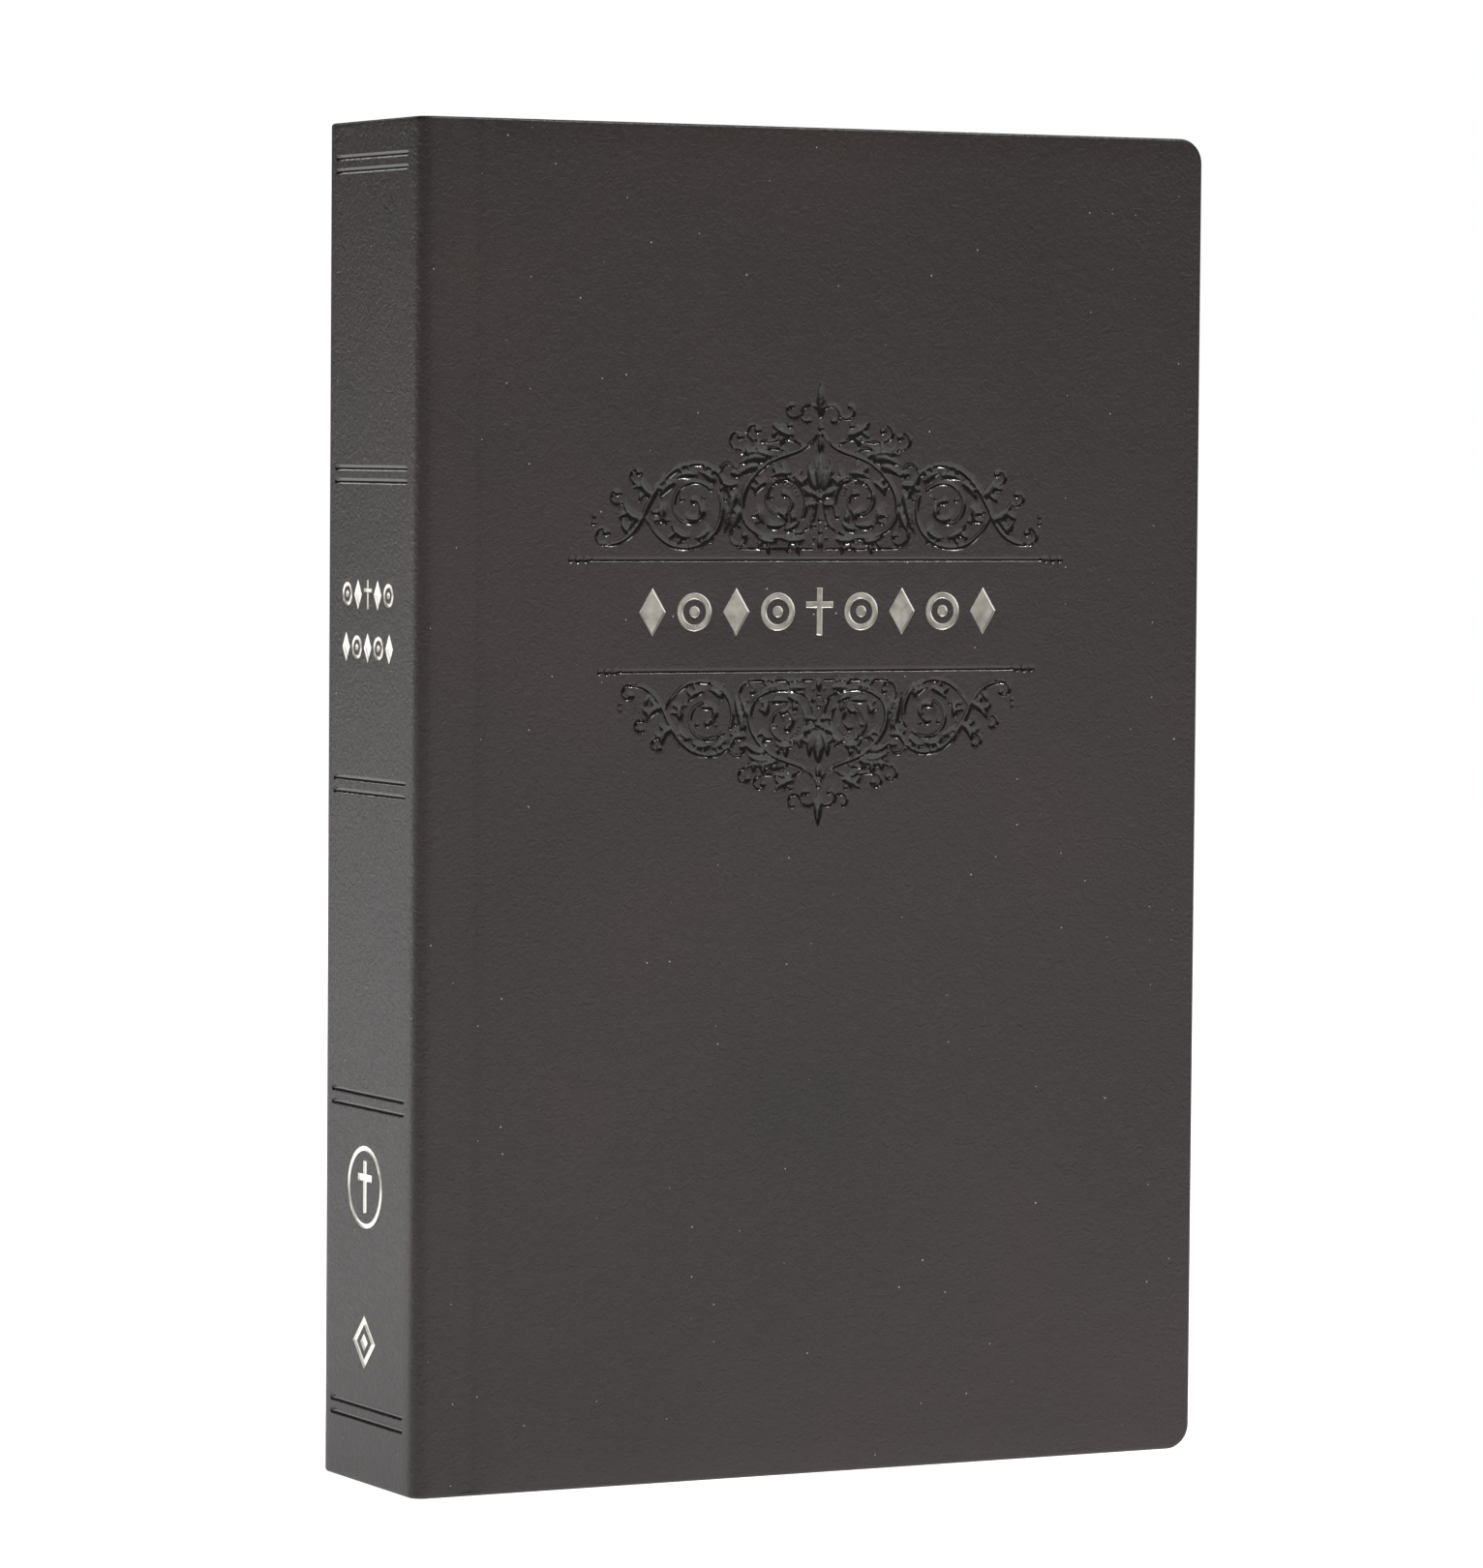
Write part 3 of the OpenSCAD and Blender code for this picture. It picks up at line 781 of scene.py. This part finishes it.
# Columns of points: close together round the shoulders, where the sheet is wrapped, and in the middle.
spine_columns = [0, joint_w / 2] + list(np.linspace(joint_w, joint_w + arc_w, 9))
spine_columns += list(np.linspace(joint_w + arc_w, wrap_w / 2 - 1, 8))[1:]
spine_columns += [wrap_w / 2 + d for d in np.linspace(-0.8, 0, 9)]
spine_columns += [wrap_w - s for s in spine_columns[-2::-1]]
spine_foil = []
spine_leather = leather_sheet(
    "spine_leather", spine_wrap, 0, wrap_w, spine_columns, False, skin_t + 0.4, 1.5,
    stamped_face(spine_lines, spine_rows + mark_outlines, lambda flat: 0, 0.1, spine_foil),
    spine_lines)
finish_piece(spine_leather, leather, 40)
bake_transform(spine_leather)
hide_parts("spine_skin_front", "spine_skin_rear")

# ------------------------------------------------------------
# Foil: a film of silver-grey metallised polyester that the hot die leaves in the
# figures and in the two marks on the spine. It lines the whole recess, up its walls.
# ------------------------------------------------------------
def foil_material():
    """Brushed-looking silver foil: bright and slightly rough, pitted by the grain under it. Its walls
    are painted paler than its grey floors, a painted highlight round each figure.
    """
    material, tree, shader = new_material(
        "silver_hot_stamping_foil", Metallic=0.85, Roughness=0.42)
    rest = add(tree, "Attribute", attribute_name="rest").outputs["Vector"]
    tint = add(tree, "TexNoise", {"Vector": rest, "Scale": 1 / 0.0022, "Detail": 4.0})
    ramp = add(tree, "ValToRGB", {"Fac": tint.outputs["Fac"]})
    ramp.color_ramp.elements[0].position, ramp.color_ramp.elements[1].position = 0.3, 0.7
    ramp.color_ramp.elements[0].color = colour("#86827a")
    ramp.color_ramp.elements[1].color = colour("#b4afa6")
    pressed = add(tree, "Attribute", attribute_name="pressed").outputs["Fac"]
    # Painted highlight: where pressed is 0, on the foil's walls and rim, the colour is near white; on
    # its deep floors it is the grey tint.
    rim_highlight = add(tree, "Mix", {"Factor": pressed, "A": colour("#f6f3ec"),
                             "B": ramp.outputs["Color"]}, data_type="RGBA")
    tree.links.new(rim_highlight.outputs["Result"], shader.inputs["Base Color"])
    pits = add(tree, "TexNoise", {"Vector": rest, "Scale": 1 / 0.0007, "Detail": 3.0})
    bump = add(tree, "Bump", {"Height": pits.outputs["Fac"], "Distance": 0.00004, "Strength": 0.6})
    tree.links.new(bump.outputs["Normal"], shader.inputs["Normal"])
    return material


silver = foil_material()


def foil_film(name, found, wrap, highlit_rims):
    """The film over the figures' triangles: their outer face, and the same face under it."""
    flat, triangles, sinks = found
    used = np.unique(triangles)
    place = {n: k for k, n in enumerate(used)}
    top = [(*wrap(flat[n][0], sinks[n] - film), flat[n][1]) for n in used]
    under = [(*wrap(flat[n][0], sinks[n] + 0.008), flat[n][1]) for n in used]
    faces = [[place[n] for n in t] for t in triangles]
    count = len(used)
    edges = {(f[n - 1], f[n]) for f in faces for n in range(3)}
    rims = [(a, b) for a, b in edges if (b, a) not in edges]
    faces += [[n + count for n in f[::-1]] for f in faces]
    faces += [(b, a, a + count, b + count) for a, b in rims]
    mesh = bpy.data.meshes.new(name)
    mesh.from_pydata([tuple(c * MM for c in p) for p in top + under], [], [tuple(f) for f in faces])
    # Pressed is 1 on the deep floors of the front figures and 0 on their walls and rims, which the
    # foil material paints pale as a painted highlight. On the spine every point is 0, and the whole
    # film takes the pale colour.
    depth = [float(highlit_rims and sinks[n] > foil_d / 2) for n in used]
    mesh.attributes.new("pressed", "FLOAT", "POINT").data.foreach_set("value", depth + depth)
    made = bpy.data.objects.new(name, mesh)
    bpy.context.scene.collection.objects.link(made)
    return made


front_foil = foil_film("cover_foil", row_foil, lambda s, sink: (s, low.y + sink), True)
finish_piece(front_foil, silver, 30)
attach(front_foil, "front_cover")
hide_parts("front_foil_row")
spine_film = foil_film("spine_foil", spine_foil, spine_wrap, False)
finish_piece(spine_film, silver, 30)
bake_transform(spine_film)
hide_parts("spine_foil_front", "spine_foil_rear")

# ------------------------------------------------------------
# Card: 0.5 mm grey-brown fibre card, cut with round fore corners, that stiffens each cover
# and its joint. The skin is turned in over its edges.
# ------------------------------------------------------------
def block(name, x, y, z):
    """A box between the given pairs of x, y and z, in mm."""
    bpy.ops.object.select_all(action="DESELECT")
    bpy.ops.mesh.primitive_cube_add(
        size=1, location=[(a + b) / 2 * MM for a, b in (x, y, z)],
        scale=[(b - a) * MM for a, b in (x, y, z)])
    made = bpy.context.object
    made.name = name
    bpy.ops.object.transform_apply(location=True, rotation=True, scale=True)
    return made


def round_edges(made, holds, width, segments):
    """Bevels the edges whose ends both pass the test, which is given places in mm."""
    only(made)
    bpy.ops.object.mode_set(mode="EDIT")
    bpy.ops.mesh.select_mode(type="EDGE")
    bpy.ops.mesh.select_all(action="DESELECT")
    bpy.ops.object.mode_set(mode="OBJECT")
    places = [v.co / MM for v in made.data.vertices]
    for edge in made.data.edges:
        a, b = (places[n] for n in edge.vertices)
        edge.select = holds(a, b)
    bpy.ops.object.mode_set(mode="EDIT")
    bpy.ops.mesh.bevel(offset=width * MM, segments=segments, affect="EDGES")
    bpy.ops.object.mode_set(mode="OBJECT")
    return made


def cut_columns(made, places):
    """Cuts the piece along planes across x, so that it can bend there."""
    only(made)
    bpy.ops.object.mode_set(mode="EDIT")
    for x in places:
        bpy.ops.mesh.select_all(action="SELECT")
        bpy.ops.mesh.bisect(plane_co=(x * MM, 0, 0), plane_no=(1, 0, 0))
    bpy.ops.object.mode_set(mode="OBJECT")
    return made


def fore_corner(far):
    """A test for the two edges through the thickness at the fore edge."""
    return lambda a, b: a.x > far - 0.01 and b.x > far - 0.01 and abs(a.z - b.z) < 0.01


def sheet_material(name, dark, light, fibre, roughness):
    """Card or paper: a matt sheet with a cloudy tint and fine fibres."""
    material, tree, shader = new_material(name, Roughness=roughness)
    rest = add(tree, "Attribute", attribute_name="rest").outputs["Vector"]
    cloud = add(tree, "TexNoise", {"Vector": rest, "Scale": 1 / 0.02, "Detail": 6.0})
    ramp = add(tree, "ValToRGB", {"Fac": cloud.outputs["Fac"]})
    ramp.color_ramp.elements[0].position, ramp.color_ramp.elements[1].position = 0.3, 0.7
    ramp.color_ramp.elements[0].color, ramp.color_ramp.elements[1].color = colour(dark), colour(light)
    tree.links.new(ramp.outputs["Color"], shader.inputs["Base Color"])
    hairs = add(tree, "TexNoise", {"Vector": rest, "Scale": 1 / fibre, "Detail": 4.0})
    bump = add(tree, "Bump", {"Height": hairs.outputs["Fac"], "Distance": 0.00003, "Strength": 0.5})
    tree.links.new(bump.outputs["Normal"], shader.inputs["Normal"])
    return material


fibre_card = sheet_material("grey_fibre_card", "#8d8270", "#a2967f", 0.0012, 0.85)
bend_places = list(np.arange(crease - 0.3, crease + 2.9, 0.25))
halves = (("front", -1, "front_half", "front_cover", 2.7), ("back", 1, "rear_half", "back_cover", 1.5))
for side, sign, half, cover, reach in halves:
    y = sorted(sign * (high.y - d) for d in (skin_t + 0.01, skin_t + card_t - 0.01))
    card = block(f"{side}_card", (low.x + shoulder_r, high.x - skin_t - 0.05), y,
                 (skin_t + 0.05, tall - skin_t - 0.05))
    round_edges(card, fore_corner(high.x - skin_t - 0.05), corner_r - skin_t, 8)
    cut_columns(card, bend_places)
    finish_piece(card, fibre_card)
    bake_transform(card)
    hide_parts(f"{side}_cover_card", "joint_card_" + side.replace("back", "rear"))

# ------------------------------------------------------------
# Endpapers: a folded sheet of plain off-white paper at each end. One leaf is pasted down
# inside the cover and the other is the free flyleaf, glued to the joint along its fold.
# ------------------------------------------------------------
endpaper = sheet_material("plain_offwhite_endpaper", "#dad4c7", "#dfdacd", 0.0009, 0.9)
page_x, page_low, page_high = high.x - 2.5, 2.5, tall - 2.5
lining_y = high.y - skin_t - card_t
for side, sign, half, cover, reach in halves:
    rear = side.replace("back", "rear")
    y = sorted(sign * (lining_y - d) for d in (0.005, 0.095))
    pasted = block(f"{side}_pasted_leaf", (crease - 0.3, page_x), y, (page_low, page_high))
    round_edges(pasted, fore_corner(page_x), corner_r, 8)
    cut_columns(pasted, bend_places[1:])
    finish_piece(pasted, endpaper)
    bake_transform(pasted)
    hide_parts(f"{side}_pastedown")
    y = sorted(sign * (lining_y - d) for d in (0.105, 0.195))
    fly = block(f"{side}_flyleaf", (low.x + 1.8, page_x), y, (page_low, page_high))
    round_edges(fly, fore_corner(page_x), corner_r, 8)
    y = sorted(sign * (lining_y - d) for d in (0.005, 0.1))
    strip = block("strip", (low.x + shoulder_r, crease - 0.3), y, (page_low, page_high))
    strip.select_set(True)
    fly.select_set(True)
    bpy.context.view_layer.objects.active = fly
    bpy.ops.object.join()
    finish_piece(fly, endpaper)
    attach(fly, half)
    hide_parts(f"flyleaf_{rear}")

# ------------------------------------------------------------
# Text block: 23 signatures of thin bible paper, folded and sewn, cut smooth at the head,
# tail and fore edge. Each is drawn as four slabs with a fine groove between them, which
# stand for its many leaves, stepped in at the spine where the fold is round.
# ------------------------------------------------------------
def page_material(name, printed):
    """Thin bible paper. Its cut edges show fine lines, and printed leaves two grey columns."""
    material, tree, shader = new_material(
        name, Roughness=0.8, Subsurface_Weight=0.08, Subsurface_Radius=(0.002, 0.0018, 0.0014),
        Subsurface_Scale=0.3)
    rest = add(tree, "Attribute", attribute_name="rest").outputs["Vector"]
    split = add(tree, "SeparateXYZ", {"Vector": rest})
    # Leaves are 0.044 mm thick; their lines are drawn 0.12 mm apart so that they show at all.
    stretch = add(tree, "Mapping", {"Vector": rest, "Scale": (14, 2600, 14)})
    lines = add(tree, "TexNoise", {"Vector": stretch.outputs["Vector"], "Scale": 3.2, "Detail": 2.0})
    edge = add(tree, "ValToRGB", {"Fac": lines.outputs["Fac"]})
    edge.color_ramp.elements[0].position, edge.color_ramp.elements[1].position = 0.3, 0.65
    edge.color_ramp.elements[0].color = colour("#bdb5a0")
    edge.color_ramp.elements[1].color = colour("#dcd6c7")
    base = edge.outputs["Color"]
    if printed:
        # Broken grey bars in two columns stand for print, 3.1 mm from line to line.
        row = add(tree, "Math", {0: split.outputs["Z"], 1: 1 / 0.0031}, operation="MULTIPLY")
        inside = add(tree, "Math", {0: row.outputs[0]}, operation="FRACT")
        bars = add(tree, "Math", {0: inside.outputs[0], 1: 0.5}, operation="LESS_THAN")
        number = add(tree, "Math", {0: row.outputs[0]}, operation="FLOOR")
        across = add(tree, "Math", {0: split.outputs["X"], 1: 1 / 0.0042}, operation="MULTIPLY")
        cell = add(tree, "CombineXYZ", {"X": across.outputs[0], "Y": number.outputs[0]})
        words = add(tree, "TexNoise", {"Vector": cell.outputs["Vector"], "Scale": 1.6,
                                       "Detail": 1.0})
        ink = add(tree, "Math", {0: words.outputs["Fac"], 1: 0.42}, operation="GREATER_THAN")
        left = add(tree, "Math", {0: split.outputs["X"], 1: 0.001, 2: 0.0555},
                   operation="COMPARE")
        gutter = add(tree, "Math", {0: split.outputs["X"], 1: 0.001, 2: 0.0025},
                     operation="COMPARE")
        column = add(tree, "Math", {0: left.outputs[0], 1: gutter.outputs[0]},
                     operation="SUBTRACT")
        tall_part = add(tree, "Math", {0: split.outputs["Z"], 1: 0.108, 2: 0.092},
                        operation="COMPARE")
        grey = bars.outputs[0]
        for share in (ink.outputs[0], column.outputs[0], tall_part.outputs[0], 0.62):
            grey = add(tree, "Math", {0: grey, 1: share}, operation="MULTIPLY").outputs[0]
        mixed = add(tree, "Mix", {"Factor": grey, "A": base,
                                  "B": colour("#35322f")}, data_type="RGBA")
        base = mixed.outputs["Result"]
    tree.links.new(base, shader.inputs["Base Color"])
    bump = add(tree, "Bump", {"Height": lines.outputs["Fac"], "Distance": 0.00006,
                              "Strength": 0.6})
    tree.links.new(bump.outputs["Normal"], shader.inputs["Normal"])
    return material


bible_paper = page_material("uncoated_bible_paper", False)
printed_paper = page_material("printed_bible_paper", True)


def slab_stack(name, y0, y1, count, fold_side=0):
    """Slabs from y0 to y1 with round fore corners and a fine groove between neighbours."""
    slabs = []
    fold_r = (y1 - y0) / 2
    for n in range(count):
        ya, yb = y0 + (y1 - y0) * n / count, y0 + (y1 - y0) * (n + 1) / count
        off = abs((ya + yb) / 2 - (y0 + y1) / 2) if not fold_side else 0
        inset = fold_r - math.sqrt(max(0, fold_r ** 2 - off ** 2))
        slab = block(name, (fold_x + inset, page_x), (ya + 0.005, yb - 0.005),
                     (page_low, page_high))
        round_edges(slab, fore_corner(page_x), corner_r, 6)
        round_edges(slab, lambda a, b: abs(a.y - b.y) < 0.001 and not (
            a.x < fold_x + 0.9 and b.x < fold_x + 0.9), 0.05, 1)
        slabs.append(slab)
    bpy.ops.object.select_all(action="DESELECT")
    for slab in slabs:
        slab.select_set(True)
    bpy.context.view_layer.objects.active = slabs[0]
    if len(slabs) > 1:
        bpy.ops.object.join()
    slabs[0].name = name
    return slabs[0]


first_low, first_high = (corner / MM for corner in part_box("signature_01"))
fold_x = first_low.x
first = slab_stack("signature_stack_01", first_low.y, first_high.y, 4)
numbers = [n for n in range(1, 24) if n != 12]
stacks = [first]
for n in numbers[1:]:
    copy = first.copy()
    copy.data = first.data.copy()
    copy.name = f"signature_stack_{n:02d}"
    bpy.context.scene.collection.objects.link(copy)
    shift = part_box(f"signature_{n:02d}")[0].y - first_low.y * MM
    copy.data.transform(Matrix.Translation((0, shift, 0)))
    stacks.append(copy)
for n, stack in zip(numbers, stacks):
    finish_piece(stack, bible_paper)
    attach(stack, "front_half" if n < 12 else "rear_half")
    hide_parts(f"signature_{n:02d}")

# ------------------------------------------------------------
# Middle signature: the one that the book opens at. Its two halves lie on either side of the sewing,
# and a block of paper between them, cut across in eleven places, fills the fold.
# ------------------------------------------------------------
middle_low, middle_high = (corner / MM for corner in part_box("middle_signature_rear"))
front_part = slab_stack("front_part", -middle_high.y, -middle_low.y, 2, 1)
rear_part = slab_stack("rear_part", middle_low.y, middle_high.y, 2, 1)
fold = block("fold", (fold_x, fold_x + 0.45), (-middle_low.y, middle_low.y), (page_low, page_high))
only(fold)
bpy.ops.object.mode_set(mode="EDIT")
for y in np.linspace(-middle_low.y, middle_low.y, 13)[1:-1]:
    bpy.ops.mesh.select_all(action="SELECT")
    bpy.ops.mesh.bisect(plane_co=(0, y * MM, 0), plane_no=(0, 1, 0))
bpy.ops.object.mode_set(mode="OBJECT")
bpy.ops.object.select_all(action="DESELECT")
for part in (front_part, rear_part, fold):
    part.select_set(True)
bpy.context.view_layer.objects.active = fold
bpy.ops.object.join()
fold.name = "middle_signature_stack"
finish_piece(fold, printed_paper)
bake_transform(fold)
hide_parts("middle_signature_front", "middle_signature_rear")

# ------------------------------------------------------------
# Loose leaves: three single leaves at the opening that fan out as the book opens. They are
# drawn thicker than bible paper so that they stay solid.
# ------------------------------------------------------------
for n in (1, 2, 3):
    leaf_low, leaf_high = (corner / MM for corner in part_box(f"loose_leaf_{n}"))
    sheet = block(f"turning_leaf_{n}", (leaf_low.x, leaf_high.x),
                  (leaf_low.y + 0.01, leaf_high.y - 0.01), (page_low, page_high))
    round_edges(sheet, fore_corner(page_x), corner_r, 8)
    finish_piece(sheet, printed_paper)
    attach(sheet, f"leaf_{n}")
    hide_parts(f"loose_leaf_{n}")

# ------------------------------------------------------------
# Spine layers under the skin: the paper lining, the mull (open cotton gauze), the glue and
# the linen sewing thread. They keep the shapes that they have in the frame.
# ------------------------------------------------------------
def woven_material(name, dark, light, pitch, roughness):
    """A thread or gauze: two crossed sets of ridges a thread apart, darker in the gaps."""
    material, tree, shader = new_material(name, Roughness=roughness)
    place = add(tree, "TexCoord").outputs["Object"]
    ridges = []
    for axis in ("Y", "Z"):
        wave = add(tree, "TexWave", {"Vector": place, "Scale": 1 / pitch / 3.18,
                                     "Distortion": 0.3}, bands_direction=axis)
        ridges.append(wave.outputs["Fac"])
    weave = add(tree, "Math", {0: ridges[0], 1: ridges[1]}, operation="MAXIMUM")
    ramp = add(tree, "ValToRGB", {"Fac": weave.outputs[0]})
    ramp.color_ramp.elements[0].color, ramp.color_ramp.elements[1].color = colour(dark), colour(light)
    tree.links.new(ramp.outputs["Color"], shader.inputs["Base Color"])
    bump = add(tree, "Bump", {"Height": weave.outputs[0], "Distance": 0.0001, "Strength": 0.7})
    tree.links.new(bump.outputs["Normal"], shader.inputs["Normal"])
    return material


def film_material(name, dark, light, grain, roughness):
    """Dried glue or lining paper: a cloudy tint with a low uneven surface."""
    material, tree, shader = new_material(name, Roughness=roughness)
    place = add(tree, "TexCoord").outputs["Object"]
    cloud = add(tree, "TexNoise", {"Vector": place, "Scale": 1 / grain, "Detail": 5.0})
    ramp = add(tree, "ValToRGB", {"Fac": cloud.outputs["Fac"]})
    ramp.color_ramp.elements[0].color, ramp.color_ramp.elements[1].color = colour(dark), colour(light)
    tree.links.new(ramp.outputs["Color"], shader.inputs["Base Color"])
    bump = add(tree, "Bump", {"Height": cloud.outputs["Fac"], "Distance": 0.0001, "Strength": 0.4})
    tree.links.new(bump.outputs["Normal"], shader.inputs["Normal"])
    return material


under_layers = {
    "spine_lining": film_material("kraft_spine_lining", "#8d8270", "#a2967f", 0.004, 0.85),
    "mull": woven_material("cotton_mull_gauze", "#c9c2ae", "#efe9da", 0.0012, 0.9),
    "spine_glue": film_material("dried_pva_glue", "#cfc19c", "#e2d8bb", 0.006, 0.45),
    "sewing_thread": woven_material("linen_sewing_thread", "#d9d2bf", "#f4efe4", 0.0004, 0.75),
}
for part, finish in under_layers.items():
    for side in ("front", "rear"):
        node = frame["nodes"][f"{part}_{side}"]
        node.data.materials.clear()
        node.data.materials.append(finish)
